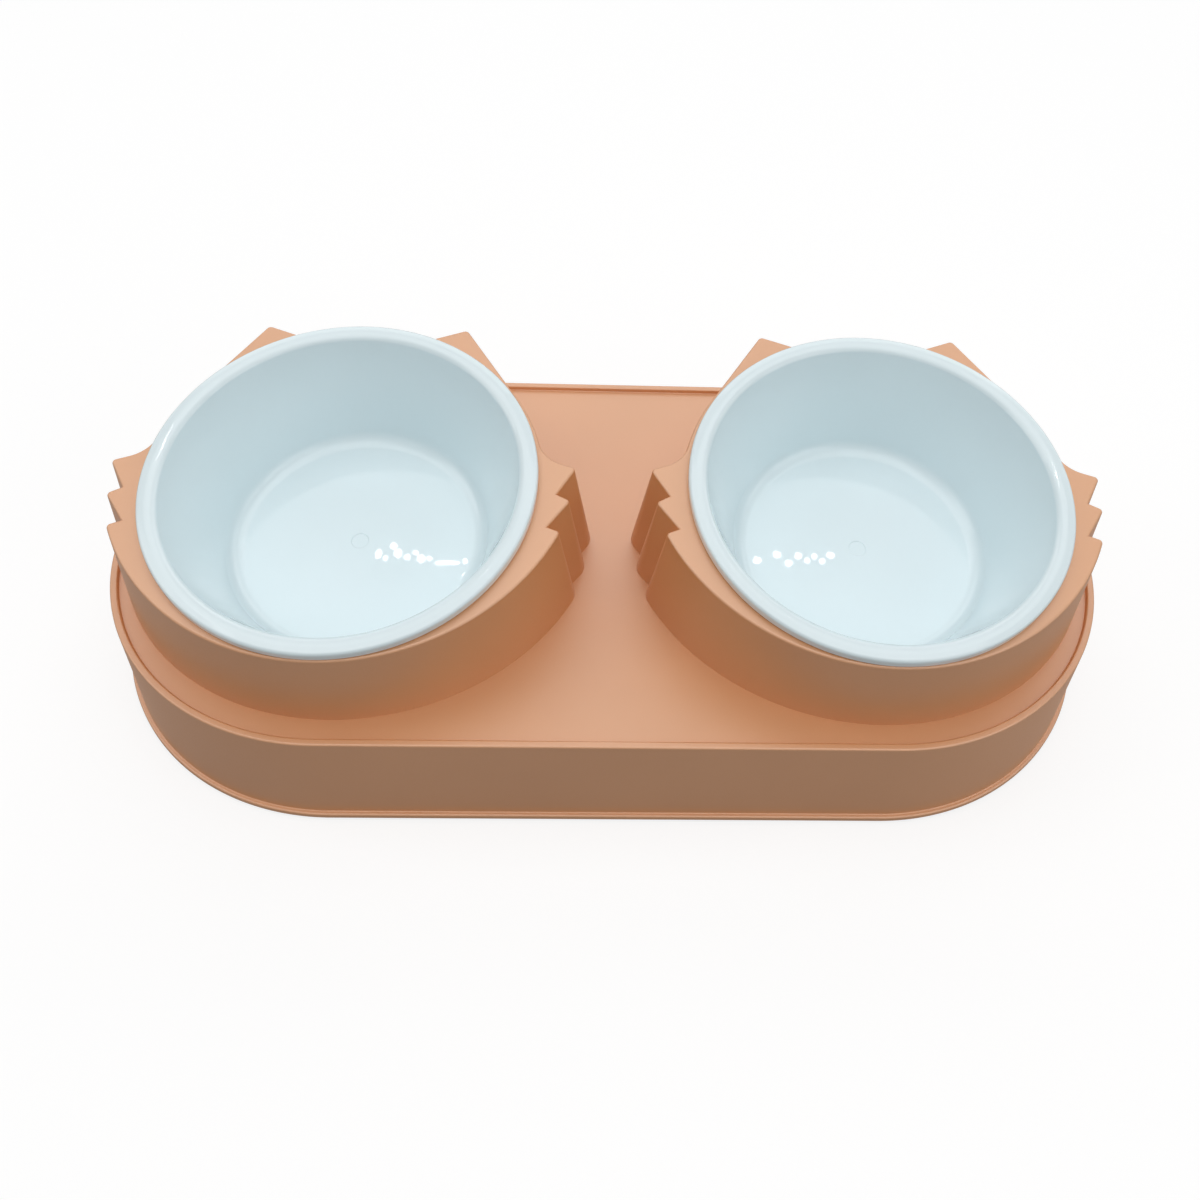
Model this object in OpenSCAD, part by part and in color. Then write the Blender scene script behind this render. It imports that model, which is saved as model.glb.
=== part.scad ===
// Double pet bowl: a one-piece moulded stand with two tilted cat-head holders,
// two bowls that lift out of it and four rubber feet.
// Millimetres. +X runs along the tray to the right, +Y to the back, +Z up.
// The origin is on the floor, under the centre of the tray.

/* [Tray] */
// Length of the tray over its raised lip
tray_length = 360; // [358:1:400]
// Width of the tray over its raised lip
tray_width = 171; // [168:1:200]
// Height of the stand's moulding from its foot flange to the top of the lip
tray_height = 43.2; // [36:0.1:50]
// Thickness of the stand's outer walls, holders and tray plate
wall = 2.4; // [1.8:0.1:3.2]
// Width of the raised lip round the tray
lip_width = 2.6; // [2.4:0.1:3.6]
// Height of the lip above the tray plate
lip_height = 1.8; // [1:0.1:4]
// How far the side wall flares out between the lip and the flange
wall_flare = 1.5; // [0.5:0.1:4]
// How far the foot flange stands out from the side wall
flange_out = 1.6; // [0.8:0.1:3]
// Height of the foot flange
flange_height = 2.2; // [1.2:0.1:4]
// Thickness of the stiffening ribs under the plate
rib_thickness = 1.6; // [1:0.1:2.4]
// How far the ribs hang below the plate
rib_drop = 7; // [3:0.5:9]
// Distance from one rib to the next
rib_pitch = 26; // [20:1:30]

/* [Holders] */
// Distance between the two bowl axes
bowl_spacing = 183; // [180:0.5:190]
// How far in front of the tray's centre line the bowl axes meet the holder tops
seat_forward = 10.4; // [4:0.2:14]
// Height of the holder tops above the floor on the bowl axes
seat_height = 86.9; // [80:0.1:100]
// Backward rise of the holder tops, in degrees
seat_tilt = 8.5; // [4:0.5:12]
// Wall draft of the holders, in degrees
holder_draft = 7.2; // [4:0.1:9]
// Rounding of the holders' top edges
edge_round = 0.8; // [0.4:0.1:1]
// Margin of the round head outside the bowl rim
head_margin = 1.6; // [1:0.1:3]
// Margin of the holder's front edge outside the bowl rim
jaw_margin = 0.3; // [0.2:0.1:2]
// How far the centre of the broad front arc lies behind the bowl axis
jaw_setback = 14.8; // [12:0.1:17]
// Reach of the upper whisker point's centre outside the bowl rim
upper_whisker_reach = 11; // [10:0.1:11.5]
// Reach of the middle whisker point's centre outside the bowl rim
middle_whisker_reach = 9.4; // [9:0.1:10]
// Rounding of the whisker points
whisker_round = 1.3; // [1.1:0.1:1.6]
// Radius of the hollow curve between the upper whisker and the head
flank_radius = 12.2; // [11:0.1:13]
// Reach of the ear tip's centre outside the bowl rim
ear_reach = 9.4; // [7:0.1:12]
// Rounding of the ear tips
ear_round = 1.6; // [1.1:0.1:2.5]

/* [Bowls] */
// Diameter of the bowl over its rim
bowl_diameter = 132; // [128:0.5:134]
// Depth of the bowl from the top of its rim to its floor
bowl_depth = 43.8; // [30:0.1:46]
// Thickness of the bowl's wall
bowl_wall = 2.2; // [1.6:0.1:3]
// Width of the rolled rim, seen from above
rim_width = 6.1; // [5.6:0.1:7]
// Height of the rolled rim above the holder
rim_height = 4.2; // [3.4:0.1:6]
// Diameter of the bowl's floor at the foot of the wall
floor_diameter = 90.6; // [84:0.2:100]
// Fillet between the bowl's floor and wall
floor_fillet = 6; // [4:0.5:10]
// How far the ring under the bowl lies inside the floor's edge
ring_inset = 6.8; // [6:0.1:15]
// Height of the ring under the bowl
ring_height = 1.5; // [0.8:0.1:2.5]
// Diameter of the shallow gate mark in the bowl's floor
gate_diameter = 6.4; // [4:0.2:10]
// Clearance between the bowl's wall and the hole that it hangs in
seat_clearance = 1.2; // [0.8:0.1:1.6]

/* [Feet] */
// Diameter of the rubber foot pads
pad_diameter = 12; // [9:0.5:12.5]
// How far the pads hold the flange above the floor
pad_standoff = 1; // [0.6:0.1:2]
// Thickness of the pads outside their posts
pad_thickness = 2.6; // [2.2:0.1:4]
// Diameter of the stem that plugs into the post
stem_diameter = 6; // [4:0.1:7]
// Length of the stem
stem_length = 5; // [3:0.5:8]
// Diameter of the posts that carry the pads
post_diameter = 14; // [13:0.5:16]
// Direction of each post from its tray end's centre, in degrees from the long axis
post_angle = 48; // [40:1:58]

/* [Hidden] */
$fn = 96;

// Small values that belong to single pieces
overrun = 1;
lip_round = 0.7;
sharp_round = 0.15;
gate_sink = 0.25;
seat_gap = 0.1;
stem_gap = 0.12;
post_gap = 2.4;
pad_chamfer = 0.5;
skirt_thickness = 1.8;
skirt_round = 0.9;
rim_edge_round = 1.2;
rim_inner_round = 2.4;
rim_crown_round = 6;
small_round = 0.4;
ring_thickness = 2;

// Directions of the edges of ears and whiskers, in degrees from the holder's side axis
ear_angle = 61.6;
ear_inner_angle = 110.6;
lower_whisker_angle = -25.3;
middle_whisker_angle = -5.2;
upper_whisker_angle = 4.6;
front_angles = [-31, -36];
back_angles = [71, 62, 68];

// Points along each round stretch of the holder outline
jaw_steps = 22;
tip_steps = 5;
flank_steps = 8;
head_steps = 6;
crown_steps = 8;
round_steps = 4;

// Levels
flange_z = pad_standoff;
lip_z = flange_z + tray_height;
plate_z = lip_z - lip_height;
plate_under_z = plate_z - wall;

// Tray plan
end_x = (tray_length - tray_width) / 2;
lip_r = tray_width / 2;
foot_r = lip_r + wall_flare;

// Holder plan, in the tilted frame whose origin is where the bowl axis meets the holder's top
bowl_r = bowl_diameter / 2;
head_r = bowl_r + head_margin;
jaw_r = bowl_r + jaw_margin + jaw_setback;
jaw_centre = [0, jaw_setback];
draft_rate = tan(holder_draft);
drop_rate = cos(seat_tilt) - draft_rate * sin(seat_tilt);
holder_drop = seat_height + (bowl_r + ear_reach) * sin(seat_tilt) - plate_under_z + rib_drop;
holder_depth = holder_drop / drop_rate + overrun;
upper_tip = (bowl_r + upper_whisker_reach) * polar(upper_whisker_angle);
middle_tip = (bowl_r + middle_whisker_reach) * polar(middle_whisker_angle);
lower_tip = jaw_centre + (jaw_r - whisker_round) * polar(lower_whisker_angle);
ear_tip = (bowl_r + ear_reach) * polar(ear_angle);
flank_reach = polar(back_angles[0]) * upper_tip + whisker_round + flank_radius;
flank_angle = back_angles[0] - acos(flank_reach / (head_r + flank_radius));
flank_centre = (head_r + flank_radius) * polar(flank_angle);
ear_outer_angle = ear_angle - acos((head_r - ear_round) / norm(ear_tip));
jaw_end_angle = 1;

// Bowl section, with its zero level on the seat
floor_r = floor_diameter / 2;
floor_z = rim_height - bowl_depth;
bowl_under_z = floor_z - bowl_wall;
rim_inner_r = bowl_r - rim_width;
rim_inner_z = rim_height - small_round;
rim_under_z = rim_height - bowl_wall;
wall_lean = (rim_inner_r - floor_r) / (rim_inner_z - floor_z);
wall_side = bowl_wall * sqrt(1 + wall_lean * wall_lean);
ring_r = floor_r - ring_inset;
hole_r = outer_wall_r(0) + seat_clearance;

// Posts and pads
post_r = post_diameter / 2;
post_reach = lip_r - wall - post_gap - post_r;
post_x = end_x + post_reach * cos(post_angle);
post_y = post_reach * sin(post_angle);
pad_r = pad_diameter / 2;
stem_r = stem_diameter / 2;

// Plane geometry
function polar(a) = [cos(a), sin(a)];
function unit(v) = v / norm(v);
function arc(c, r, a1, a2, n) = [for (i = [0:n]) c + r * polar(a1 + (a2 - a1) * i / n)];
function tail(list) = [for (i = [1:len(list) - 1]) list[i]];
function shortest(a) = (a + 540) % 360 - 180;

// Where the lines with normals n1 and n2 and distances e1 and e2 from the origin cross
function crossing(n1, e1, n2, e2) =
    [e1 * n2[1] - e2 * n1[1], e2 * n1[0] - e1 * n2[0]] / (n1[0] * n2[1] - n1[1] * n2[0]);

// An arc of radius r that rounds the corner b between a and c
function rounded_corner(a, b, c, r) =
    let (
        to_a = unit(a - b),
        to_c = unit(c - b),
        half = acos(to_a * to_c) / 2,
        centre = b + unit(to_a + to_c) * r / sin(half),
        first = b + to_a * r / tan(half) - centre,
        last = b + to_c * r / tan(half) - centre,
        a1 = atan2(first[1], first[0]),
        sweep = shortest(atan2(last[1], last[0]) - a1)
    )
    arc(centre, r, a1, a1 + sweep, round_steps);

// A closed path of [x, y, rounding] corners, with its corners rounded
function rounded_path(path) =
    let (n = len(path), at = function(i) [path[(i + n) % n][0], path[(i + n) % n][1]])
    [for (i = [0:n - 1]) each path[i][2] > 0
        ? rounded_corner(at(i - 1), at(i), at(i + 1), path[i][2])
        : [at(i)]];

// Radius of the bowl's outer wall at height z above the seat
function outer_wall_r(z) = floor_r + (z - floor_z) * wall_lean + wall_side;

// Rounding that a point of radius r has when the outline grows, and the centre of that rounding
function grown_round(r, grow) = max(r + grow, sharp_round);
function grown_centre(c, r, front, back, grow) =
    c + (polar(front) + polar(back)) / (1 + polar(front) * polar(back)) * (grow + r - grown_round(r, grow));

// A whisker's rounded point and the notch behind it, where the next whisker's front edge crosses
function whisker(c, r, front, back, next_front, next_reach) =
    let (
        cut = min(1, max(-1, (next_reach - polar(next_front) * c) / r)),
        cut_angle = next_front + acos(cut),
        end_angle = min(back, cut_angle),
        notch = cut_angle < back
            ? c + r * polar(cut_angle)
            : crossing(polar(back), polar(back) * c + r, polar(next_front), next_reach),
        step = (end_angle - front) / (tip_steps + 1)
    )
    concat([for (i = [0:tip_steps]) c + r * polar(front + i * step)], [notch]);

// Right half of the cat-head outline, from the middle of the front to the middle of the back,
// grown on all sides
function half_outline(grow) =
    let (
        r = grown_round(whisker_round, grow),
        shrink = whisker_round + grow - r,
        lower_reach = polar(back_angles[2]) * (lower_tip - jaw_centre) + shrink,
        lower_front = back_angles[2] - acos(lower_reach / (jaw_r + grow - r)),
        lower = jaw_centre + (jaw_r + grow - r) * polar(lower_front),
        middle = grown_centre(middle_tip, whisker_round, front_angles[1], back_angles[1], grow),
        upper = grown_centre(upper_tip, whisker_round, front_angles[0], back_angles[0], grow),
        middle_reach = polar(front_angles[1]) * middle + r,
        upper_reach = polar(front_angles[0]) * upper + r,
        ear_r = grown_round(ear_round, grow),
        ear = grown_centre(ear_tip, ear_round, ear_outer_angle, ear_inner_angle, grow),
        ear_reach_in = polar(ear_inner_angle) * ear + ear_r,
        crown_angle = ear_inner_angle - acos(ear_reach_in / (head_r + grow))
    )
    concat(
        arc(jaw_centre, jaw_r + grow, -90, lower_front - jaw_end_angle, jaw_steps),
        whisker(lower, r, lower_front, back_angles[2], front_angles[1], middle_reach),
        whisker(middle, r, front_angles[1], back_angles[1], front_angles[0], upper_reach),
        arc(upper, r, front_angles[0], back_angles[0], tip_steps),
        arc(flank_centre, flank_radius - grow, back_angles[0] + 180, flank_angle + 180, flank_steps),
        tail(arc([0, 0], head_r + grow, flank_angle, ear_outer_angle, head_steps)),
        arc(ear, ear_r, ear_outer_angle, ear_inner_angle, tip_steps),
        arc([0, 0], head_r + grow, crown_angle, 90, crown_steps)
    );

function outline(grow) =
    let (half = half_outline(grow))
    concat(half, [for (i = [len(half) - 2:-1:1]) [-half[i][0], half[i][1]]]);

// A solid through the outline at each [height, growth] of the profile, from the top down
module loft(profile) {
    rings = [for (p = profile) [for (q = outline(p[1])) [q[0], q[1], p[0]]]];
    n = len(rings[0]);
    last = len(rings) - 1;
    top = [[for (j = [n - 1:-1:0]) j]];
    bottom = [[for (j = [0:n - 1]) last * n + j]];
    sides = [for (i = [0:last - 1], j = [0:n - 1]) each let (a = i * n + j, b = i * n + (j + 1) % n)
        [[a, b, b + n], [a, b + n, a + n]]];
    polyhedron(points = [for (ring = rings) each ring], faces = concat(top, sides, bottom));
}

// Moves its children into the tilted frame of the left (-1) or right (1) holder
module in_seat(side) {
    translate([side * bowl_spacing / 2, -seat_forward, seat_height])
        rotate([seat_tilt, 0, 0])
        children();
}

// Keeps what lies above height z
module above(z) {
    intersection() {
        children();
        translate([-tray_length, -tray_width, z])
            cube([2 * tray_length, 2 * tray_width, seat_height + tray_height]);
    }
}

module holder_outside() {
    edge = [for (i = [0:round_steps]) edge_round * (polar(90 - 90 * i / round_steps) - [1, 1])];
    loft(concat(
        [for (p = edge) [p[1], p[0] - p[1] * draft_rate]],
        [[-holder_depth, holder_depth * draft_rate]]
    ));
}

module holder_inside() {
    loft([
        [-wall, wall * draft_rate - wall],
        [-holder_depth - overrun, (holder_depth + overrun) * draft_rate - wall]
    ]);
}

// Half of the tray's cross-section, from the middle of an end outwards
module tray_half_section() {
    inner_foot_r = foot_r - wall;
    inner_top_r = lip_r - wall;
    polygon(rounded_path([
        [0, plate_z, 0],
        [lip_r - lip_width, plate_z, small_round],
        [lip_r - lip_width, lip_z, lip_round],
        [lip_r, lip_z, lip_round],
        [foot_r, flange_z + flange_height, small_round],
        [foot_r + flange_out, flange_z + flange_height, lip_round],
        [foot_r + flange_out, flange_z, small_round],
        [inner_foot_r, flange_z, small_round],
        [inner_top_r, plate_under_z, small_round],
        [0, plate_under_z, 0]
    ]));
}

module tray_shell() {
    for (side = [0, 1])
        mirror([side, 0, 0])
        translate([end_x, 0, 0])
        rotate([0, 0, -90])
        rotate_extrude(angle = 180)
        tray_half_section();
    for (side = [0, 1])
        mirror([0, side, 0])
        translate([-end_x, 0, 0])
        rotate([90, 0, 90])
        linear_extrude(2 * end_x)
        tray_half_section();
}

module ribs() {
    rib_length = 2 * (lip_r - wall / 2);
    for (x = [-rib_pitch, 0, rib_pitch])
        translate([x - rib_thickness / 2, -rib_length / 2, plate_under_z - rib_drop])
        cube([rib_thickness, rib_length, rib_drop + wall / 2]);
}

// Each post hangs from the plate, and a web ties it to the side wall
module posts() {
    post_height = plate_z - wall / 2 - pad_thickness;
    web_length = post_r + post_gap + wall;
    for (side = [-1, 1], end = [-1, 1])
        translate([side * post_x, end * post_y, pad_thickness]) {
            cylinder(r = post_r, h = post_height);
            rotate([0, 0, atan2(end * sin(post_angle), side * cos(post_angle))])
                translate([0, -rib_thickness / 2, flange_height])
                cube([web_length, rib_thickness, post_height - flange_height]);
        }
}

module stem_holes() {
    for (side = [-1, 1], end = [-1, 1])
        translate([side * post_x, end * post_y, pad_thickness - overrun])
        cylinder(r = stem_r + stem_gap, h = stem_length + 2 * overrun);
}

module stand() {
    color([0.96, 0.69, 0.52])
    difference() {
        union() {
            difference() {
                union() {
                    tray_shell();
                    ribs();
                    for (side = [-1, 1])
                        above(plate_z - wall / 2) in_seat(side) holder_outside();
                }
                for (side = [-1, 1])
                    above(plate_under_z - rib_drop) in_seat(side) holder_inside();
            }
            posts();
        }
        for (side = [-1, 1])
            in_seat(side) translate([0, 0, -wall - overrun]) cylinder(r = hole_r, h = wall + 2 * overrun);
        stem_holes();
    }
}

module bowl_section() {
    polygon(rounded_path([
        [0, floor_z, 0],
        [floor_r, floor_z, floor_fillet],
        [rim_inner_r, rim_inner_z, rim_inner_round],
        [bowl_r - rim_width / 2, rim_height, rim_crown_round],
        [bowl_r, rim_inner_z, rim_edge_round],
        [bowl_r, 0, skirt_round],
        [bowl_r - skirt_thickness, 0, small_round],
        [bowl_r - skirt_thickness, rim_under_z, small_round],
        [outer_wall_r(rim_under_z), rim_under_z, small_round],
        [outer_wall_r(bowl_under_z), bowl_under_z, floor_fillet + bowl_wall],
        [ring_r, bowl_under_z, small_round],
        [ring_r, bowl_under_z - ring_height, small_round],
        [ring_r - ring_thickness, bowl_under_z - ring_height, small_round],
        [ring_r - ring_thickness, bowl_under_z, small_round],
        [0, bowl_under_z, 0]
    ]));
}

module bowl(side) {
    color([0.9, 0.96, 0.97])
    in_seat(side)
    translate([0, 0, seat_gap])
    difference() {
        rotate_extrude() bowl_section();
        translate([0, 0, floor_z - gate_sink]) cylinder(d = gate_diameter, h = gate_sink + overrun);
    }
}

module left_bowl() {
    bowl(-1);
}

module right_bowl() {
    bowl(1);
}

module foot(side, end) {
    color([0.86, 0.86, 0.84])
    translate([side * post_x, end * post_y, 0]) {
        cylinder(r1 = pad_r - pad_chamfer, r2 = pad_r, h = pad_chamfer);
        translate([0, 0, pad_chamfer]) cylinder(r = pad_r, h = pad_thickness - pad_chamfer);
        cylinder(r = stem_r, h = pad_thickness + stem_length);
    }
}

module front_left_foot() {
    foot(-1, -1);
}

module front_right_foot() {
    foot(1, -1);
}

module back_left_foot() {
    foot(-1, 1);
}

module back_right_foot() {
    foot(1, 1);
}

stand();
left_bowl();
right_bowl();
front_left_foot();
front_right_foot();
back_left_foot();
back_right_foot();
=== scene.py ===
import math

import bmesh
import bpy
from mathutils import Matrix, Vector
from mathutils.kdtree import KDTree


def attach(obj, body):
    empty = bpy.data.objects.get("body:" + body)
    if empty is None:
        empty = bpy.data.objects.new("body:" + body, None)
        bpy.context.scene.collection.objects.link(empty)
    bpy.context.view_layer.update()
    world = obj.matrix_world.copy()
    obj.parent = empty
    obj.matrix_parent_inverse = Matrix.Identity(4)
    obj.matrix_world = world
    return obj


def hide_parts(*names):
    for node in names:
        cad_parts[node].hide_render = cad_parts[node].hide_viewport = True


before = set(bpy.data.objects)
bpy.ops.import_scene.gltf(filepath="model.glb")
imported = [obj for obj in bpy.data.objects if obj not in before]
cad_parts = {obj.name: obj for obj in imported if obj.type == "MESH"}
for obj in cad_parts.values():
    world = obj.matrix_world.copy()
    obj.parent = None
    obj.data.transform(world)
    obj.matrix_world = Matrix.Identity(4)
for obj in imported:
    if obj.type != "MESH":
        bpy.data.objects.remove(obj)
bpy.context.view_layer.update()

# A double pet bowl: an apricot stand with two tilted cat-head holders and two loose white bowls.
# Metres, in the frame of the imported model: +X along the tray, +Y to the back, +Z up.
MM = 0.001

# Tray
TRAY_LENGTH = 360 * MM
TRAY_WIDTH = 171 * MM
TRAY_HEIGHT = 43.2 * MM
WALL = 2.4 * MM
LIP_WIDTH = 2.6 * MM
LIP_HEIGHT = 1.8 * MM
LIP_ROUND = 0.7 * MM
WALL_FLARE = 1.5 * MM
FLANGE_OUT = 1.6 * MM
FLANGE_HEIGHT = 2.2 * MM
RIB_THICKNESS = 1.6 * MM
RIB_DROP = 7 * MM
RIB_PITCH = 26 * MM
PAD_STANDOFF = 1 * MM

# Holders
BOWL_SPACING = 183 * MM
SEAT_FORWARD = 10.4 * MM
SEAT_HEIGHT = 86.9 * MM
SEAT_TILT = 8.5
HOLDER_DRAFT = 7.2
EDGE_ROUND = 0.8 * MM
HEAD_MARGIN = 1.6 * MM
JAW_MARGIN = 0.3 * MM
JAW_SETBACK = 14.8 * MM
UPPER_WHISKER_REACH = 11 * MM
MIDDLE_WHISKER_REACH = 9.4 * MM
WHISKER_ROUND = 1.3 * MM
FLANK_RADIUS = 12.2 * MM
EAR_REACH = 9.4 * MM
EAR_ROUND = 1.6 * MM
SHARP_ROUND = 0.15 * MM
EAR_ANGLE = 61.6
EAR_INNER_ANGLE = 110.6
LOWER_WHISKER_ANGLE = -25.3
MIDDLE_WHISKER_ANGLE = -5.2
UPPER_WHISKER_ANGLE = 4.6
FRONT_ANGLES = (-31, -36)
BACK_ANGLES = (71, 62, 68)
JAW_END_ANGLE = 1

# Bowls
BOWL_DIAMETER = 132 * MM
BOWL_DEPTH = 43.8 * MM
BOWL_WALL = 2.2 * MM
RIM_WIDTH = 6.1 * MM
RIM_HEIGHT = 4.2 * MM
RIM_CROWN = 0.4 * MM
RIM_EDGE_ROUND = 1.2 * MM
RIM_INNER_ROUND = 2.4 * MM
RIM_CROWN_ROUND = 6 * MM
SKIRT_THICKNESS = 1.8 * MM
SKIRT_ROUND = 0.9 * MM
FLOOR_DIAMETER = 90.6 * MM
FLOOR_FILLET = 6 * MM
RING_INSET = 6.8 * MM
RING_HEIGHT = 1.5 * MM
RING_THICKNESS = 2 * MM
GATE_DIAMETER = 6.4 * MM
GATE_SINK = 0.25 * MM
SEAT_CLEARANCE = 1.2 * MM
SEAT_GAP = 0.1 * MM

# The smallest roundings of the tray and the bowls
SMALL_ROUND = 0.4 * MM

# Feet
PAD_DIAMETER = 12 * MM
PAD_THICKNESS = 2.6 * MM
PAD_CHAMFER = 0.5 * MM
STEM_DIAMETER = 6 * MM
STEM_LENGTH = 5 * MM
STEM_GAP = 0.12 * MM
POST_DIAMETER = 14 * MM
POST_GAP = 2.4 * MM
POST_ANGLE = 48

# Steps along the round stretches
RING_STEPS = 256
JAW_STEPS = 44
TIP_STEPS = 7
FLANK_STEPS = 14
HEAD_STEPS = 14
CROWN_STEPS = 14
ROUND_STEPS = 6
RIM_EDGE_STEPS = 10
FILLET_STEPS = 12
FOOT_STEPS = 64
SMOOTH_ANGLE = math.radians(32)
OVERRUN = 1 * MM

# How close two levels or radii are when they count as the same, and doubled vertices as one
NEAR = 0.02 * MM
SAME_LEVEL = 0.001 * MM
DOUBLE = 0.002 * MM
FACING = 0.9

# Levels and places that follow from the sizes
FLANGE_Z = PAD_STANDOFF
LIP_Z = FLANGE_Z + TRAY_HEIGHT
PLATE_Z = LIP_Z - LIP_HEIGHT
PLATE_UNDER_Z = PLATE_Z - WALL
END_X = (TRAY_LENGTH - TRAY_WIDTH) / 2
LIP_R = TRAY_WIDTH / 2
FLANGE_R = LIP_R + WALL_FLARE + FLANGE_OUT
BOWL_R = BOWL_DIAMETER / 2
FLOOR_R = FLOOR_DIAMETER / 2
FLOOR_Z = RIM_HEIGHT - BOWL_DEPTH
BOWL_UNDER_Z = FLOOR_Z - BOWL_WALL
RIM_INNER_R = BOWL_R - RIM_WIDTH
RIM_EDGE_Z = RIM_HEIGHT - RIM_CROWN
RIM_UNDER_Z = RIM_HEIGHT - BOWL_WALL
WALL_LEAN = (RIM_INNER_R - FLOOR_R) / (RIM_EDGE_Z - FLOOR_Z)
WALL_SIDE = BOWL_WALL * math.sqrt(1 + WALL_LEAN ** 2)
RING_R = FLOOR_R - RING_INSET
HEAD_R = BOWL_R + HEAD_MARGIN
JAW_R = BOWL_R + JAW_MARGIN + JAW_SETBACK
DRAFT_RATE = math.tan(math.radians(HOLDER_DRAFT))
DROP_RATE = math.cos(math.radians(SEAT_TILT)) - DRAFT_RATE * math.sin(math.radians(SEAT_TILT))
EAR_RISE = (BOWL_R + EAR_REACH) * math.sin(math.radians(SEAT_TILT))
HOLDER_DEPTH = (SEAT_HEIGHT + EAR_RISE - PLATE_UNDER_Z + RIB_DROP) / DROP_RATE + OVERRUN
STEM_TOP_Z = PAD_THICKNESS + STEM_LENGTH
POST_R = POST_DIAMETER / 2
POST_REACH = LIP_R - WALL - POST_GAP - POST_R
POST_X = END_X + POST_REACH * math.cos(math.radians(POST_ANGLE))
POST_Y = POST_REACH * math.sin(math.radians(POST_ANGLE))


def outer_wall_r(z):
    """Radius of the bowl's outer wall at height z above its seat."""
    return FLOOR_R + (z - FLOOR_Z) * WALL_LEAN + WALL_SIDE


HOLE_R = outer_wall_r(0) + SEAT_CLEARANCE


# ---- Working in edit mode ----

def select_none():
    """Deselects everything, in object mode."""
    bpy.ops.object.select_all(action="DESELECT")


def select_only(piece):
    """Leaves one piece selected and active, in object mode."""
    select_none()
    piece.select_set(True)
    bpy.context.view_layer.objects.active = piece


def edit(piece):
    """Opens one piece in edit mode."""
    select_only(piece)
    bpy.ops.object.mode_set(mode="EDIT")


def leave(piece):
    """Leaves edit mode and gives the piece back."""
    bpy.ops.object.mode_set(mode="OBJECT")
    return piece


def pick(piece, kind, test):
    """In edit mode, selects the vertices, edges or faces that pass the test, and nothing else."""
    bpy.ops.mesh.select_mode(type=kind)
    bpy.ops.mesh.select_all(action="DESELECT")
    mesh = bmesh.from_edit_mesh(piece.data)
    group = {"VERT": mesh.verts, "EDGE": mesh.edges, "FACE": mesh.faces}[kind]
    for element in group:
        if test(element):
            element.select_set(True)
    mesh.select_flush_mode()
    bmesh.update_edit_mesh(piece.data)


def top_face(piece):
    """In edit mode, selects the highest face that looks up."""
    mesh = bmesh.from_edit_mesh(piece.data)
    mesh.normal_update()
    level = max(f.calc_center_median().z for f in mesh.faces if f.normal.z > FACING)
    pick(piece, "FACE", lambda f: f.normal.z > FACING and abs(f.calc_center_median().z - level) < SAME_LEVEL)


def bottom_face(piece):
    """In edit mode, selects the lowest face that looks down."""
    mesh = bmesh.from_edit_mesh(piece.data)
    mesh.normal_update()
    level = min(f.calc_center_median().z for f in mesh.faces if f.normal.z < -FACING)
    pick(piece, "FACE", lambda f: f.normal.z < -FACING and abs(f.calc_center_median().z - level) < SAME_LEVEL)


def inset(thickness, depth=0.0):
    """Insets the selected face, and moves it along its normal."""
    bpy.ops.mesh.inset(thickness=thickness, depth=depth, use_even_offset=True)


def extrude(rise):
    """Extrudes the selected face straight up or down."""
    bpy.ops.mesh.extrude_region_move(TRANSFORM_OT_translate={"value": (0, 0, rise)})


def at_level(edge, z):
    """True for an edge that lies level at height z."""
    return all(abs(v.co.z - z) < NEAR for v in edge.verts)


def circle(radius, z):
    """A test for the edges of a level circle round the Z axis."""
    return lambda e: at_level(e, z) and all(abs(v.co.xy.length - radius) < NEAR for v in e.verts)


def oval(reach, z):
    """A test for the edges of a level oval that runs at one distance round the tray's middle line."""
    def distance(co):
        return math.hypot(max(abs(co.x) - END_X, 0), co.y)

    return lambda e: at_level(e, z) and all(abs(distance(v.co) - reach) < NEAR for v in e.verts)


def round_edges(piece, test, radius, steps=ROUND_STEPS):
    """In edit mode, rounds the edges that pass the test to a radius."""
    pick(piece, "EDGE", test)
    mesh = bmesh.from_edit_mesh(piece.data)
    turn = max(e.calc_face_angle() for e in mesh.edges if e.select)
    bpy.ops.mesh.bevel(
        offset=radius * math.tan(turn / 2), offset_type="OFFSET", segments=steps,
        affect="EDGES", clamp_overlap=False,
    )


def clean(piece):
    """Merges doubles and points all faces outwards."""
    edit(piece)
    bpy.ops.mesh.select_all(action="SELECT")
    bpy.ops.mesh.remove_doubles(threshold=DOUBLE)
    bpy.ops.mesh.normals_make_consistent(inside=False)
    return leave(piece)


def apply_modifier(piece, modifier):
    """Applies a modifier to its piece."""
    select_only(piece)
    bpy.ops.object.modifier_apply(modifier=modifier.name)


def joined(pieces):
    """Joins pieces that lie apart into one object."""
    select_none()
    for piece in pieces:
        piece.select_set(True)
    bpy.context.view_layer.objects.active = pieces[0]
    bpy.ops.object.join()
    return pieces[0]


def combine(piece, tool, operation):
    """Unites the piece with a tool, or cuts it by the tool, and removes the tool."""
    modifier = piece.modifiers.new(operation.lower(), "BOOLEAN")
    modifier.operation = operation
    modifier.solver = "MANIFOLD"
    modifier.object = tool
    apply_modifier(piece, modifier)
    bpy.data.objects.remove(tool)
    return piece


def smooth(piece):
    """Smooth faces with crisp edges, and flat faces that stay flat beside small roundings."""
    select_only(piece)
    bpy.ops.object.shade_smooth_by_angle(angle=SMOOTH_ANGLE)
    modifier = piece.modifiers.new("weighted normals", "WEIGHTED_NORMAL")
    modifier.keep_sharp = True
    apply_modifier(piece, modifier)


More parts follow.
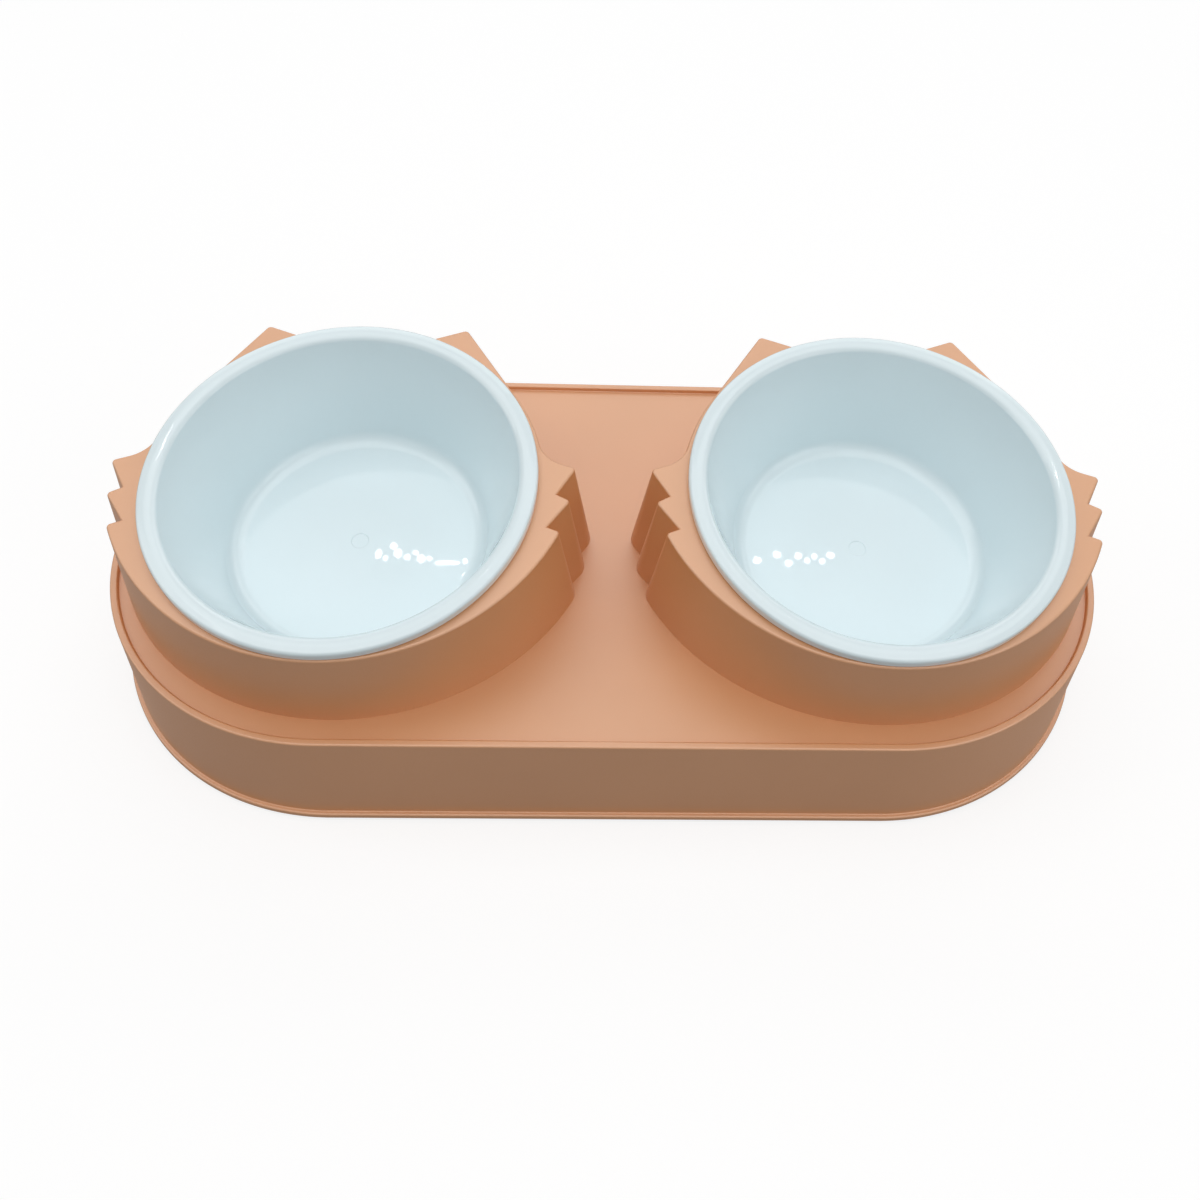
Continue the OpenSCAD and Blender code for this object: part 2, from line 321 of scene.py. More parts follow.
def disc(name, radius, low, high, steps=RING_STEPS, place=(0, 0)):
    """A round bar between two heights, the start of the turned pieces."""
    select_none()
    bpy.ops.mesh.primitive_cylinder_add(
        vertices=steps, radius=radius, depth=high - low,
        location=(place[0], place[1], (low + high) / 2), end_fill_type="NGON",
    )
    bpy.ops.object.transform_apply(location=True, rotation=True, scale=True)
    piece = bpy.context.object
    piece.name = name
    return piece


def block(name, low, high):
    """A straight bar between two corners, for ribs and webs that melt into the stand."""
    select_none()
    bpy.ops.mesh.primitive_cube_add(size=1, location=(Vector(low) + Vector(high)) / 2)
    piece = bpy.context.object
    piece.name = name
    piece.scale = Vector(high) - Vector(low)
    bpy.ops.object.transform_apply(location=True, rotation=True, scale=True)
    return piece


def moved(piece, matrix):
    """Places a piece by a matrix and applies it, so that its object stays at the origin."""
    select_only(piece)
    piece.matrix_world = matrix
    bpy.ops.object.transform_apply(location=True, rotation=True, scale=True)
    return piece


def seat(side):
    """The tilted frame of the left (-1) or right (1) holder."""
    place = Matrix.Translation((side * BOWL_SPACING / 2, -SEAT_FORWARD, SEAT_HEIGHT))
    return place @ Matrix.Rotation(math.radians(SEAT_TILT), 4, "X")


# ---- The cat-head outline of the holders ----

def polar(angle, radius=1.0):
    """The point of a circle at an angle in degrees."""
    return Vector((radius * math.cos(math.radians(angle)), radius * math.sin(math.radians(angle))))


def acos(x):
    """Arc cosine in degrees."""
    return math.degrees(math.acos(x))


def arc(centre, radius, start, end, steps):
    """Points of an arc, ends included."""
    return [centre + polar(start + (end - start) * i / steps, radius) for i in range(steps + 1)]


def crossing(n1, e1, n2, e2):
    """Where two lines cross, given by their normals and their distances from the origin."""
    return Vector((e1 * n2.y - e2 * n1.y, e2 * n1.x - e1 * n2.x)) / (n1.x * n2.y - n1.y * n2.x)


def grown_round(radius, grow):
    """The rounding that a point has when the outline grows."""
    return max(radius + grow, SHARP_ROUND)


def grown_centre(centre, radius, front, back, grow):
    """The centre of that rounding."""
    a, b = polar(front), polar(back)
    return centre + (a + b) / (1 + a.dot(b)) * (grow + radius - grown_round(radius, grow))


def whisker(centre, radius, front, back, next_front, next_reach):
    """A whisker's rounded point and the notch behind it, where the next whisker's front edge crosses."""
    cut = min(1.0, max(-1.0, (next_reach - polar(next_front).dot(centre)) / radius))
    cut_angle = next_front + acos(cut)
    end = min(back, cut_angle)
    if cut_angle < back:
        notch = centre + polar(cut_angle, radius)
    else:
        notch = crossing(polar(back), polar(back).dot(centre) + radius, polar(next_front), next_reach)
    step = (end - front) / (TIP_STEPS + 1)
    return [centre + polar(front + i * step, radius) for i in range(TIP_STEPS + 1)] + [notch]


JAW_CENTRE = Vector((0, JAW_SETBACK))
UPPER_TIP = polar(UPPER_WHISKER_ANGLE, BOWL_R + UPPER_WHISKER_REACH)
MIDDLE_TIP = polar(MIDDLE_WHISKER_ANGLE, BOWL_R + MIDDLE_WHISKER_REACH)
LOWER_TIP = JAW_CENTRE + polar(LOWER_WHISKER_ANGLE, JAW_R - WHISKER_ROUND)
EAR_TIP = polar(EAR_ANGLE, BOWL_R + EAR_REACH)
FLANK_REACH = polar(BACK_ANGLES[0]).dot(UPPER_TIP) + WHISKER_ROUND + FLANK_RADIUS
FLANK_ANGLE = BACK_ANGLES[0] - acos(FLANK_REACH / (HEAD_R + FLANK_RADIUS))
FLANK_CENTRE = polar(FLANK_ANGLE, HEAD_R + FLANK_RADIUS)
EAR_OUTER_ANGLE = EAR_ANGLE - acos((HEAD_R - EAR_ROUND) / EAR_TIP.length)


def outline(grow):
    """The cat-head outline, grown on all sides, anticlockwise from the middle of its front."""
    r = grown_round(WHISKER_ROUND, grow)
    lower_reach = polar(BACK_ANGLES[2]).dot(LOWER_TIP - JAW_CENTRE) + WHISKER_ROUND + grow - r
    lower_front = BACK_ANGLES[2] - acos(lower_reach / (JAW_R + grow - r))
    lower = JAW_CENTRE + polar(lower_front, JAW_R + grow - r)
    middle = grown_centre(MIDDLE_TIP, WHISKER_ROUND, FRONT_ANGLES[1], BACK_ANGLES[1], grow)
    upper = grown_centre(UPPER_TIP, WHISKER_ROUND, FRONT_ANGLES[0], BACK_ANGLES[0], grow)
    middle_reach = polar(FRONT_ANGLES[1]).dot(middle) + r
    upper_reach = polar(FRONT_ANGLES[0]).dot(upper) + r
    ear_r = grown_round(EAR_ROUND, grow)
    ear = grown_centre(EAR_TIP, EAR_ROUND, EAR_OUTER_ANGLE, EAR_INNER_ANGLE, grow)
    crown_reach = polar(EAR_INNER_ANGLE).dot(ear) + ear_r
    crown_angle = EAR_INNER_ANGLE - acos(crown_reach / (HEAD_R + grow))
    middle_of_head = Vector((0, 0))
    half = arc(JAW_CENTRE, JAW_R + grow, -90, lower_front - JAW_END_ANGLE, JAW_STEPS)
    half += whisker(lower, r, lower_front, BACK_ANGLES[2], FRONT_ANGLES[1], middle_reach)
    half += whisker(middle, r, FRONT_ANGLES[1], BACK_ANGLES[1], FRONT_ANGLES[0], upper_reach)
    half += arc(upper, r, FRONT_ANGLES[0], BACK_ANGLES[0], TIP_STEPS)
    half += arc(FLANK_CENTRE, FLANK_RADIUS - grow, BACK_ANGLES[0] + 180, FLANK_ANGLE + 180, FLANK_STEPS)
    half += arc(middle_of_head, HEAD_R + grow, FLANK_ANGLE, EAR_OUTER_ANGLE, HEAD_STEPS)[1:]
    half += arc(ear, ear_r, EAR_OUTER_ANGLE, EAR_INNER_ANGLE, TIP_STEPS)
    half += arc(middle_of_head, HEAD_R + grow, crown_angle, 90, CROWN_STEPS)
    return half + [Vector((-p.x, p.y)) for p in reversed(half[1:-1])]


def ring(side, depth, grow):
    """The outline at a depth below the top of a holder, placed in the part."""
    matrix = seat(side)
    return [matrix @ Vector((p.x, p.y, -depth)) for p in outline(grow)]


def ring_at_level(upper, lower, z):
    """The ring where the straight walls between two rings pass a level."""
    return [a.lerp(b, (a.z - z) / (a.z - b.z)) for a, b in zip(upper, lower)]


def stack(name, rings):
    """A closed solid through rings of as many points each: a flat face, extruded from ring to ring."""
    select_none()
    bpy.ops.mesh.primitive_circle_add(vertices=len(rings[0]), radius=BOWL_R, fill_type="NGON")
    piece = bpy.context.object
    piece.name = name
    for vertex, place in zip(piece.data.vertices, rings[0]):
        vertex.co = place
    edit(piece)
    bpy.ops.mesh.select_mode(type="FACE")
    bpy.ops.mesh.select_all(action="SELECT")
    for above, below in zip(rings, rings[1:]):
        bpy.ops.mesh.extrude_region_move()
        tree = KDTree(len(above))
        for i, place in enumerate(above):
            tree.insert(place, i)
        tree.balance()
        mesh = bmesh.from_edit_mesh(piece.data)
        for vertex in mesh.verts:
            if vertex.select:
                vertex.co = below[tree.find(vertex.co)[1]]
        bmesh.update_edit_mesh(piece.data)
    bpy.ops.mesh.select_all(action="SELECT")
    bpy.ops.mesh.normals_make_consistent(inside=False)
    return leave(piece)


def holder_outside(side):
    """One holder as a solid, from its rounded top edge down into the tray's plate."""
    rings = []
    for i in range(ROUND_STEPS + 1):
        corner = EDGE_ROUND * (polar(90 - 90 * i / ROUND_STEPS) - Vector((1, 1)))
        rings.append(ring(side, -corner.y, corner.x - corner.y * DRAFT_RATE))
    foot = ring(side, HOLDER_DEPTH, HOLDER_DEPTH * DRAFT_RATE)
    rings.append(ring_at_level(rings[-1], foot, PLATE_Z - WALL / 2))
    return stack("holder_outside", rings)


def holder_inside(side):
    """The hollow under one holder, open downwards through the plate and its ribs."""
    top = ring(side, WALL, WALL * DRAFT_RATE - WALL)
    foot_depth = HOLDER_DEPTH + OVERRUN
    foot = ring(side, foot_depth, foot_depth * DRAFT_RATE - WALL)
    return stack("holder_inside", [top, ring_at_level(top, foot, PLATE_UNDER_Z - RIB_DROP - OVERRUN)])


# ---- Pieces ----

def make_tray():
    """The oval tray: side wall, foot flange, raised lip, plate, and the hollow under them."""
    piece = disc("stand", FLANGE_R, FLANGE_Z, FLANGE_Z + FLANGE_HEIGHT)
    moved(piece, Matrix.Rotation(math.pi / RING_STEPS, 4, "Z"))
    edit(piece)
    for side in (-1, 1):
        pick(piece, "VERT", lambda v: v.co.x * side > 0)
        bpy.ops.transform.translate(value=(side * END_X, 0, 0))
    top_face(piece)
    inset(FLANGE_OUT)
    inset(WALL_FLARE, LIP_Z - FLANGE_Z - FLANGE_HEIGHT)
    inset(LIP_WIDTH)
    extrude(-LIP_HEIGHT)
    bottom_face(piece)
    inset(FLANGE_OUT + WALL)
    inset(WALL_FLARE, FLANGE_Z - PLATE_UNDER_Z)
    flange_top = FLANGE_Z + FLANGE_HEIGHT
    for reach, z, radius in (
        (LIP_R, LIP_Z, LIP_ROUND),
        (LIP_R - LIP_WIDTH, LIP_Z, LIP_ROUND),
        (LIP_R - LIP_WIDTH, PLATE_Z, SMALL_ROUND),
        (FLANGE_R, flange_top, LIP_ROUND),
        (FLANGE_R - FLANGE_OUT, flange_top, SMALL_ROUND),
        (FLANGE_R, FLANGE_Z, SMALL_ROUND),
        (FLANGE_R - FLANGE_OUT - WALL, FLANGE_Z, SMALL_ROUND),
        (LIP_R - WALL, PLATE_UNDER_Z, SMALL_ROUND),
    ):
        round_edges(piece, oval(reach, z), radius)
    return leave(piece)


def make_post(side, end):
    """One foot post, with the web that ties it to the side wall."""
    post_top = PLATE_Z - WALL / 2
    web = block(
        "web",
        (0, -RIB_THICKNESS / 2, PAD_THICKNESS + FLANGE_HEIGHT),
        (POST_R + POST_GAP + WALL, RIB_THICKNESS / 2, post_top),
    )
    outwards = polar(POST_ANGLE)
    turn = math.atan2(end * outwards.y, side * outwards.x)
    moved(web, Matrix.Rotation(turn, 4, "Z"))
    post = combine(disc("post", POST_R, PAD_THICKNESS, post_top, FOOT_STEPS), web, "UNION")
    return moved(post, Matrix.Translation((side * POST_X, end * POST_Y, 0)))


def make_rib(x):
    """One stiffening rib across the underside of the plate."""
    reach = LIP_R - WALL / 2
    return block(
        "rib",
        (x - RIB_THICKNESS / 2, -reach, PLATE_UNDER_Z - RIB_DROP),
        (x + RIB_THICKNESS / 2, reach, PLATE_UNDER_Z + WALL / 2),
    )


def make_stand():
    """The whole moulding: tray, ribs, posts and the two hollow holders."""
    corners = [(side, end) for side in (-1, 1) for end in (-1, 1)]
    stand = make_tray()
    combine(stand, joined([make_rib(x) for x in (-RIB_PITCH, 0, RIB_PITCH)]), "UNION")
    combine(stand, joined([holder_outside(side) for side in (-1, 1)]), "UNION")
    combine(stand, joined([holder_inside(side) for side in (-1, 1)]), "DIFFERENCE")
    combine(stand, joined([make_post(*corner) for corner in corners]), "UNION")
    holes = [moved(disc("hole", HOLE_R, -WALL - OVERRUN, OVERRUN), seat(side)) for side in (-1, 1)]
    holes += [
        disc("stem", STEM_DIAMETER / 2 + STEM_GAP, PAD_THICKNESS - OVERRUN, STEM_TOP_Z + OVERRUN,
             FOOT_STEPS, (side * POST_X, end * POST_Y))
        for side, end in corners
    ]
    combine(stand, joined(holes), "DIFFERENCE")
    return clean(stand)


def make_bowl(name, side):
    """One bowl: rolled rim, leaning wall, flat floor with a gate mark, and a ring below."""
    bowl = disc(name, BOWL_R, 0, RIM_EDGE_Z)
    edit(bowl)
    top_face(bowl)
    inset(RIM_WIDTH / 2, RIM_CROWN)
    inset(RIM_WIDTH / 2, -RIM_CROWN)
    inset(RIM_INNER_R - FLOOR_R, FLOOR_Z - RIM_EDGE_Z)
    inset(FLOOR_R - GATE_DIAMETER / 2)
    inset(GATE_SINK, -GATE_SINK)
    inset(GATE_DIAMETER / 4)
    bottom_face(bowl)
    inset(SKIRT_THICKNESS)
    extrude(RIM_UNDER_Z)
    inset(BOWL_R - SKIRT_THICKNESS - outer_wall_r(RIM_UNDER_Z))
    inset(outer_wall_r(RIM_UNDER_Z) - outer_wall_r(BOWL_UNDER_Z), RIM_UNDER_Z - BOWL_UNDER_Z)
    inset(outer_wall_r(BOWL_UNDER_Z) - RING_R)
    extrude(-RING_HEIGHT)
    inset(RING_THICKNESS)
    extrude(RING_HEIGHT)

    under_r = outer_wall_r(BOWL_UNDER_Z)
    round_edges(bowl, circle(FLOOR_R, FLOOR_Z), FLOOR_FILLET, FILLET_STEPS)
    round_edges(bowl, circle(under_r, BOWL_UNDER_Z), FLOOR_FILLET + BOWL_WALL, FILLET_STEPS)
    round_edges(bowl, circle(RIM_INNER_R, RIM_EDGE_Z), RIM_INNER_ROUND)
    round_edges(bowl, circle(BOWL_R, RIM_EDGE_Z), RIM_EDGE_ROUND, RIM_EDGE_STEPS)
    round_edges(bowl, circle(BOWL_R - RIM_WIDTH / 2, RIM_HEIGHT), RIM_CROWN_ROUND)
    round_edges(bowl, circle(BOWL_R, 0), SKIRT_ROUND)
    round_edges(bowl, circle(BOWL_R - SKIRT_THICKNESS, 0), SMALL_ROUND)
    for radius in (RING_R, RING_R - RING_THICKNESS):
        round_edges(bowl, circle(radius, BOWL_UNDER_Z - RING_HEIGHT), SMALL_ROUND)
        round_edges(bowl, circle(radius, BOWL_UNDER_Z), SMALL_ROUND)
    round_edges(bowl, circle(GATE_DIAMETER / 2, FLOOR_Z), GATE_SINK)
    leave(bowl)
    moved(bowl, seat(side) @ Matrix.Translation((0, 0, SEAT_GAP)))
    return clean(bowl)


def make_foot(name, side, end):
    """One rubber foot: a pad with rounded edges and a stem that plugs into the stand's post."""
    foot = disc(name, PAD_DIAMETER / 2, 0, PAD_THICKNESS, FOOT_STEPS)
    edit(foot)
    top_face(foot)
    inset((PAD_DIAMETER - STEM_DIAMETER) / 2)
    extrude(STEM_LENGTH)
    round_edges(foot, lambda e: at_level(e, 0), PAD_CHAMFER)
    round_edges(foot, lambda e: at_level(e, STEM_TOP_Z), PAD_CHAMFER)
    leave(foot)
    moved(foot, Matrix.Translation((side * POST_X, end * POST_Y, 0)))
    return clean(foot)


# ---- Finishes ----

# Nearly all values of the noise lie between these
NOISE_LOW = 0.3
NOISE_HIGH = 0.7


def linear(red, green, blue):
    """A colour given as it looks on a screen, 0 to 255, as the linear colour that shaders take."""
    channels = (c / 255 for c in (red, green, blue))
    return tuple(c / 12.92 if c <= 0.04045 else ((c + 0.055) / 1.055) ** 2.4 for c in channels) + (1.0,)


class Finish:
    """A procedural material on Object coordinates, with a few helpers that add its nodes."""

    def __init__(self, name):
        self.material = bpy.data.materials.new(name)
        self.material.use_nodes = True
        self.nodes = self.material.node_tree.nodes
        self.links = self.material.node_tree.links
        self.shader = self.nodes["Principled BSDF"]
        self.place = self.nodes.new("ShaderNodeTexCoord").outputs["Object"]

    def noise(self, size, detail):
        """Noise with lumps of about the given size, in metres."""
        node = self.nodes.new("ShaderNodeTexNoise")
        node.inputs["Scale"].default_value = 1 / size
        node.inputs["Detail"].default_value = detail
        self.links.new(self.place, node.inputs["Vector"])
        return node.outputs["Fac"]

    def tones(self, factor, dark, light):
        """Two tones, the second where the factor is high, on the shader's base colour."""
        ramp = self.nodes.new("ShaderNodeValToRGB")
        ramp.color_ramp.elements[0].position = NOISE_LOW
        ramp.color_ramp.elements[0].color = dark
        ramp.color_ramp.elements[1].position = NOISE_HIGH
        ramp.color_ramp.elements[1].color = light
        self.links.new(factor, ramp.inputs["Fac"])
        self.links.new(ramp.outputs["Color"], self.shader.inputs["Base Color"])

    def sheen_spread(self, factor, low, high):
        """Roughness that wanders between two values."""
        node = self.nodes.new("ShaderNodeMapRange")
        node.inputs["From Min"].default_value = NOISE_LOW
        node.inputs["From Max"].default_value = NOISE_HIGH
        node.inputs["To Min"].default_value = low
        node.inputs["To Max"].default_value = high
        self.links.new(factor, node.inputs["Value"])
        self.links.new(node.outputs["Result"], self.shader.inputs["Roughness"])

    def bumps(self, layers):
        """Stacks bump layers of (factor, height in metres) on the shader's normal."""
        normal = None
        for factor, height in layers:
            node = self.nodes.new("ShaderNodeBump")
            node.inputs["Strength"].default_value = 1.0
            node.inputs["Distance"].default_value = height
            self.links.new(factor, node.inputs["Height"])
            if normal:
                self.links.new(normal, node.inputs["Normal"])
            normal = node.outputs["Normal"]
        self.links.new(normal, self.shader.inputs["Normal"])

    def give(self, *pieces):
        """Puts the material on pieces."""
        for piece in pieces:
            piece.data.materials.clear()
            piece.data.materials.append(self.material)


def apricot_plastic():
    """Matt moulded plastic: fine spark-eroded grain, faint cloudiness and slight flow waves."""
    finish = Finish("apricot_plastic")
    cloud = finish.noise(45 * MM, 3)
    grain = finish.noise(0.45 * MM, 2)
    wave = finish.noise(22 * MM, 1)
    finish.tones(cloud, linear(209, 145, 91), linear(213, 149, 95))
    finish.sheen_spread(grain, 0.4, 0.5)
    finish.bumps([(wave, 0.12 * MM), (grain, 0.012 * MM)])
    finish.shader.inputs["IOR"].default_value = 1.8
    finish.shader.inputs["Specular IOR Level"].default_value = 0.9
    return finish


def white_plastic():
    """Glossy white plastic with a cool tint and a slightly wavy skin."""
    finish = Finish("white_plastic")
    cloud = finish.noise(60 * MM, 2)
    ripple = finish.noise(16 * MM, 1)
    finish.tones(cloud, linear(228, 243, 247), linear(231, 245, 249))
    finish.sheen_spread(cloud, 0.29, 0.35)
    finish.bumps([(ripple, 0.03 * MM)])
    finish.shader.inputs["Specular IOR Level"].default_value = 0.3
    finish.shader.inputs["Coat Weight"].default_value = 1.0
    finish.shader.inputs["Coat Roughness"].default_value = 0.02
    return finish


def foot_rubber():
    """Pale silicone rubber, dull and slightly dusty."""
    finish = Finish("foot_rubber")
    cloud = finish.noise(5 * MM, 3)
    grain = finish.noise(0.3 * MM, 2)
    finish.tones(cloud, linear(206, 206, 202), linear(222, 222, 218))
    finish.sheen_spread(grain, 0.6, 0.75)
    finish.bumps([(grain, 0.01 * MM)])
    return finish


# ---- Camera, light and floor ----

# The photograph's view, in its own pixels
IMAGE_SIZE = 1200
SENSOR_WIDTH = 36
FOCAL_PIXELS = 1170.1
CENTRE_PIXEL = (641.5, 429.5)
CAMERA_PLACE = Vector((-6.99, -277.33, 383.94)) * MM
CAMERA_PITCH = math.radians(45.249)
CAMERA_YAW = math.radians(3.298)
CAMERA_ROLL = math.radians(-3.466)

# Soft lamps that face the object: name, place, (width, height), watts
SOFTBOX_TARGET = (0, 0, 0.05)
SOFTBOXES = (
    ("top_softbox", (0.0, 0.0, 1.7), (1.7, 1.7), 10.0),
    ("back_softbox", (0.0, 1.3, 1.1), (2.0, 0.8), 5.1),
    ("left_softbox", (-1.5, 0.0, 0.9), (1.0, 1.0), 3.1),
    ("left_high_fill", (-1.0, 0.1, 1.4), (0.7, 0.7), 1.6),
    ("front_fill", (0.0, -0.9, 1.45), (1.1, 0.75), 2.3),
    ("right_fill", (1.5, 0.0, 0.9), (0.6, 0.6), 1.0),
    ("right_back_fill", (1.2, 1.0, 0.9), (0.7, 0.7), 1.5),
    ("right_front_softbox", (1.2, -1.0, 0.8), (1.27, 1.27), 4.8),
)

# Small lamps near the ceiling, mirrored as glints by the glossy bowls: (x, y, width, depth).
# Each face looks CEILING_GLOW times as bright as white.
CEILING_Z = 1.43
CEILING_GLOW = 28
CEILING_LAMPS = {
    "left": (
        (-0.351, 0.534, 0.008, 0.015), (-0.340, 0.527, 0.007, 0.007), (-0.329, 0.548, 0.010, 0.010),
        (-0.321, 0.535, 0.011, 0.014), (-0.306, 0.529, 0.008, 0.008), (-0.293, 0.537, 0.007, 0.007),
        (-0.284, 0.527, 0.011, 0.012), (-0.271, 0.528, 0.007, 0.007), (-0.243, 0.521, 0.038, 0.006),
        (-0.215, 0.524, 0.008, 0.008), (-0.212, 0.500, 0.012, 0.009),
    ),
    "right": (
        (0.268, 0.533, 0.011, 0.011), (0.300, 0.543, 0.011, 0.011), (0.318, 0.529, 0.010, 0.010),
        (0.334, 0.541, 0.010, 0.010), (0.348, 0.534, 0.008, 0.008), (0.360, 0.541, 0.008, 0.008),
        (0.372, 0.533, 0.008, 0.008), (0.386, 0.543, 0.012, 0.009),
    ),
}

# How strongly the surroundings light the object
WORLD_LEVEL = 0.2

# The floor's grey and its glow, as it lights and is mirrored, and as the camera sees it
FLOOR_GREY = 0.33
FLOOR_MIRRORED_GLOW = 0.2
FLOOR_SEEN_GREY = 0.28
FLOOR_SEEN_GLOW = 0.77

# The floor fades into the white surroundings between these distances from the object
FLOOR_SIZE = 12
FLOOR_NEAR = 0.5
FLOOR_FAR = 1.6


def make_camera():
    """The camera at the photograph's viewing angle."""
    data = bpy.data.cameras.new("camera")
    camera = bpy.data.objects.new("camera", data)
    bpy.context.scene.collection.objects.link(camera)
    data.sensor_width = SENSOR_WIDTH
    data.lens = SENSOR_WIDTH * FOCAL_PIXELS / IMAGE_SIZE
    data.shift_x = (IMAGE_SIZE / 2 - CENTRE_PIXEL[0]) / IMAGE_SIZE
    data.shift_y = (CENTRE_PIXEL[1] - IMAGE_SIZE / 2) / IMAGE_SIZE
    data.clip_start = 0.01
    data.clip_end = 50
    forward = Vector((
        math.sin(CAMERA_YAW) * math.cos(CAMERA_PITCH),
        math.cos(CAMERA_YAW) * math.cos(CAMERA_PITCH),
        -math.sin(CAMERA_PITCH),
    ))
    level = Vector((math.cos(CAMERA_YAW), -math.sin(CAMERA_YAW), 0))
    down = forward.cross(level)
    right = level * math.cos(CAMERA_ROLL) + down * math.sin(CAMERA_ROLL)
    down = down * math.cos(CAMERA_ROLL) - level * math.sin(CAMERA_ROLL)
    turn = Matrix((right, -down, -forward)).transposed()
    camera.matrix_world = Matrix.Translation(CAMERA_PLACE) @ turn.to_4x4()
    bpy.context.scene.camera = camera


def make_lamp(name, place, target, size, power, shape):
    """An area lamp of (width, height) at a place, turned to a target."""
    data = bpy.data.lights.new(name, "AREA")
    data.shape = shape
    data.size, data.size_y = size
    data.energy = power
    lamp = bpy.data.objects.new(name, data)
    bpy.context.scene.collection.objects.link(lamp)
    lamp.location = place
    lamp.rotation_euler = (Vector(target) - Vector(place)).to_track_quat("-Z", "Y").to_euler()


def make_lamps():
    """The softboxes round the object and the small lamps near the ceiling."""
    for name, place, size, power in SOFTBOXES:
        make_lamp(name, place, SOFTBOX_TARGET, size, power, "RECTANGLE")
    for row, lamps in CEILING_LAMPS.items():
        for number, (x, y, width, depth) in enumerate(lamps, 1):
            name = f"{row}_ceiling_lamp_{number}"
            area = math.pi / 4 * width * depth
            power = CEILING_GLOW * math.pi * area
            make_lamp(name, (x, y, CEILING_Z), (x, y, 0), (width, depth), power, "ELLIPSE")


def rays(nodes, links, *kinds):
    """A socket that is 1 for rays of any of these kinds."""
    path = nodes.new("ShaderNodeLightPath")
    found = path.outputs[kinds[0]]
    for kind in kinds[1:]:
        either = nodes.new("ShaderNodeMath")
        either.operation = "MAXIMUM"
        links.new(found, either.inputs[0])
        links.new(path.outputs[kind], either.inputs[1])
        found = either.outputs[0]
    return found


def mixed(nodes, links, factor, first, second):
    """A mix of two shaders, all of the second where the factor is 1."""
    mix = nodes.new("ShaderNodeMixShader")
    links.new(factor, mix.inputs["Fac"])
    links.new(first, mix.inputs[1])
    links.new(second, mix.inputs[2])
    return mix.outputs[0]


def make_world():
    """Plain pale surroundings, white where they are seen directly, mirrored or through glass."""
    world = bpy.data.worlds.new("world")
    bpy.context.scene.world = world
    world.use_nodes = True
    nodes, links = world.node_tree.nodes, world.node_tree.links
    backgrounds = []
    for level in (WORLD_LEVEL, 1.0):
        background = nodes.new("ShaderNodeBackground")
        background.inputs["Color"].default_value = (1, 1, 1, 1)
        background.inputs["Strength"].default_value = level
        backgrounds.append(background.outputs[0])
    seen = rays(nodes, links, "Is Camera Ray", "Is Glossy Ray", "Is Transmission Ray")
    surface = mixed(nodes, links, seen, *backgrounds)
    links.new(surface, nodes["World Output"].inputs["Surface"])


def glowing(nodes, links, grey, glow):
    """A dull grey shader with an emission of its own added."""
    dull = nodes.new("ShaderNodeBsdfDiffuse")
    dull.inputs["Color"].default_value = (grey, grey, grey, 1)
    both = nodes.new("ShaderNodeAddShader")
    links.new(dull.outputs[0], both.inputs[0])
    links.new(glow.outputs[0], both.inputs[1])
    return both.outputs[0]


def distance_fade(nodes, links):
    """A socket that rises from 0 near the object to 1 far away from it."""
    place = nodes.new("ShaderNodeTexCoord")
    distance = nodes.new("ShaderNodeVectorMath")
    distance.operation = "LENGTH"
    links.new(place.outputs["Object"], distance.inputs[0])
    reach = nodes.new("ShaderNodeMapRange")
    reach.interpolation_type = "SMOOTHSTEP"
    reach.inputs["From Min"].default_value = FLOOR_NEAR
    reach.inputs["From Max"].default_value = FLOOR_FAR
    links.new(distance.outputs["Value"], reach.inputs["Value"])
    return reach.outputs["Result"]


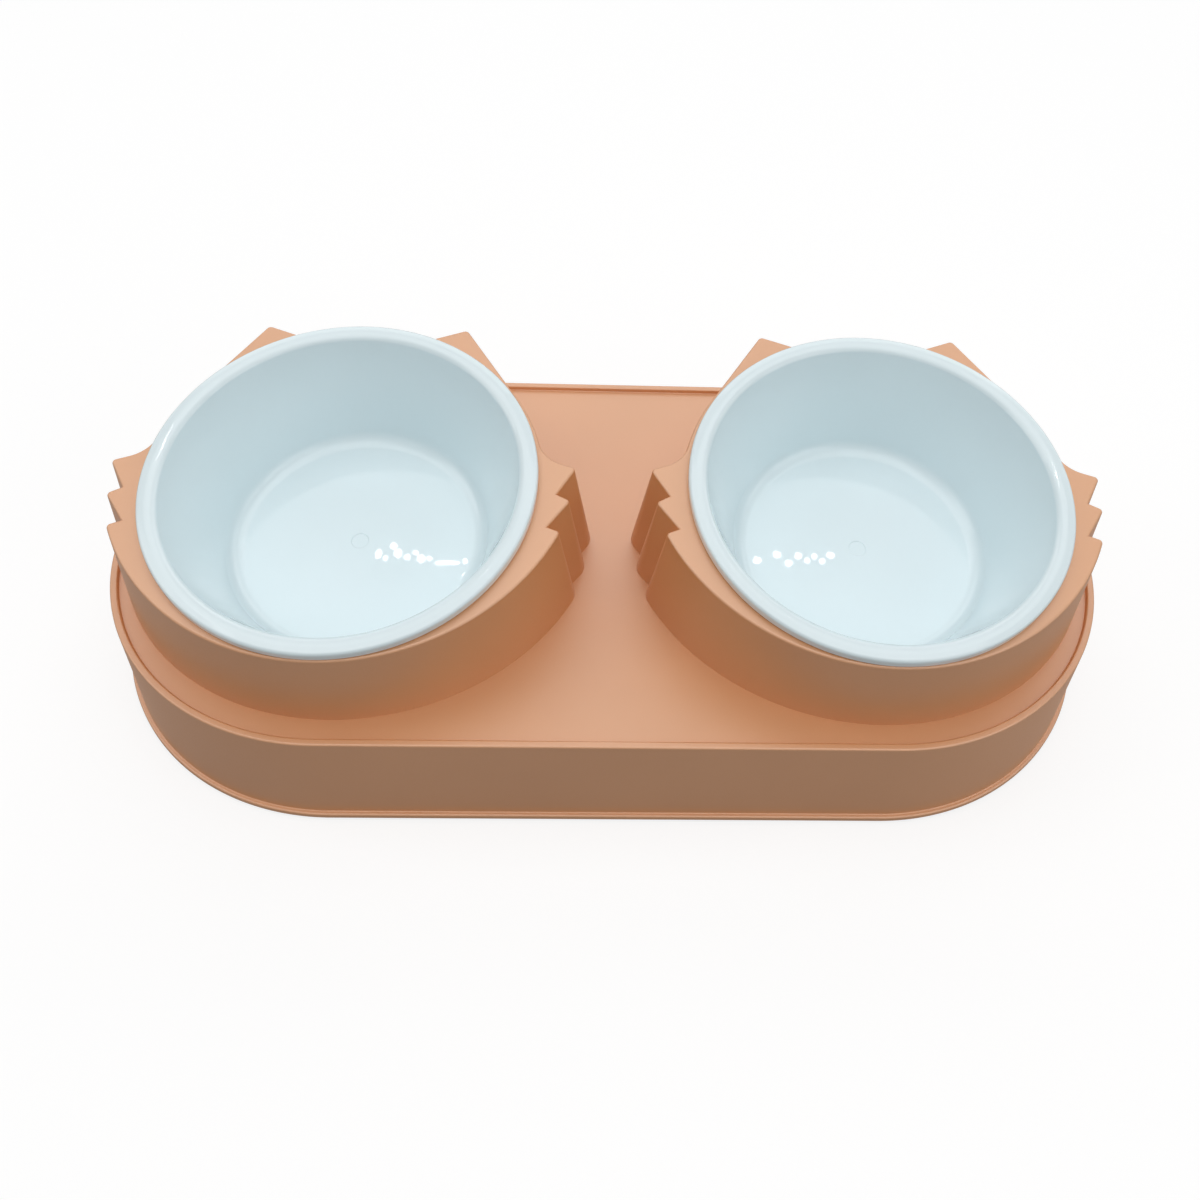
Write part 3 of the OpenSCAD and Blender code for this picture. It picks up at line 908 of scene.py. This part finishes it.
def make_floor():
    """A plain pale floor, nearly white to the camera, that keeps the object's shadow."""
    select_none()
    bpy.ops.mesh.primitive_plane_add(size=FLOOR_SIZE, location=(0, 0, 0))
    floor = bpy.context.object
    floor.name = "floor"
    material = bpy.data.materials.new("floor")
    material.use_nodes = True
    nodes, links = material.node_tree.nodes, material.node_tree.links
    nodes.remove(nodes["Principled BSDF"])

    # This glow shows in reflections and through glass, and lights nothing
    mirrored = nodes.new("ShaderNodeMath")
    mirrored.operation = "MULTIPLY"
    mirrored.inputs[1].default_value = FLOOR_MIRRORED_GLOW
    links.new(rays(nodes, links, "Is Glossy Ray", "Is Transmission Ray"), mirrored.inputs[0])
    mirrored_glow = nodes.new("ShaderNodeEmission")
    links.new(mirrored.outputs[0], mirrored_glow.inputs["Strength"])

    seen_glow = nodes.new("ShaderNodeEmission")
    seen_glow.inputs["Strength"].default_value = FLOOR_SEEN_GLOW
    white = nodes.new("ShaderNodeEmission")
    near = glowing(nodes, links, FLOOR_SEEN_GREY, seen_glow)
    seen = mixed(nodes, links, distance_fade(nodes, links), near, white.outputs[0])
    lit = glowing(nodes, links, FLOOR_GREY, mirrored_glow)
    surface = mixed(nodes, links, rays(nodes, links, "Is Camera Ray"), lit, seen)
    links.new(surface, nodes["Material Output"].inputs["Surface"])
    floor.data.materials.append(material)


# ---- The scene ----

make_camera()
make_world()
make_floor()
make_lamps()

stand = make_stand()
left_bowl = make_bowl("left_pet_bowl", -1)
right_bowl = make_bowl("right_pet_bowl", 1)
feet = {
    f"{end_word}_{side_word}_foot": make_foot(f"{end_word}_{side_word}_rubber_foot", side, end)
    for end_word, end in (("front", -1), ("back", 1))
    for side_word, side in (("left", -1), ("right", 1))
}
stand.name = "moulded_stand"
for piece in (stand, left_bowl, right_bowl, *feet.values()):
    smooth(piece)

apricot_plastic().give(stand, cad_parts["stand"])
white_plastic().give(left_bowl, right_bowl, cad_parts["left_bowl"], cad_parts["right_bowl"])
foot_rubber().give(*feet.values(), *(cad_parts[node] for node in feet))

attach(stand, "stand")
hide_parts("stand")
for piece, node in ((left_bowl, "left_bowl"), (right_bowl, "right_bowl")):
    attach(piece, node)
    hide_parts(node)
for node, piece in feet.items():
    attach(piece, "stand")
    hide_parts(node)

bpy.context.scene.view_settings.view_transform = "Standard"
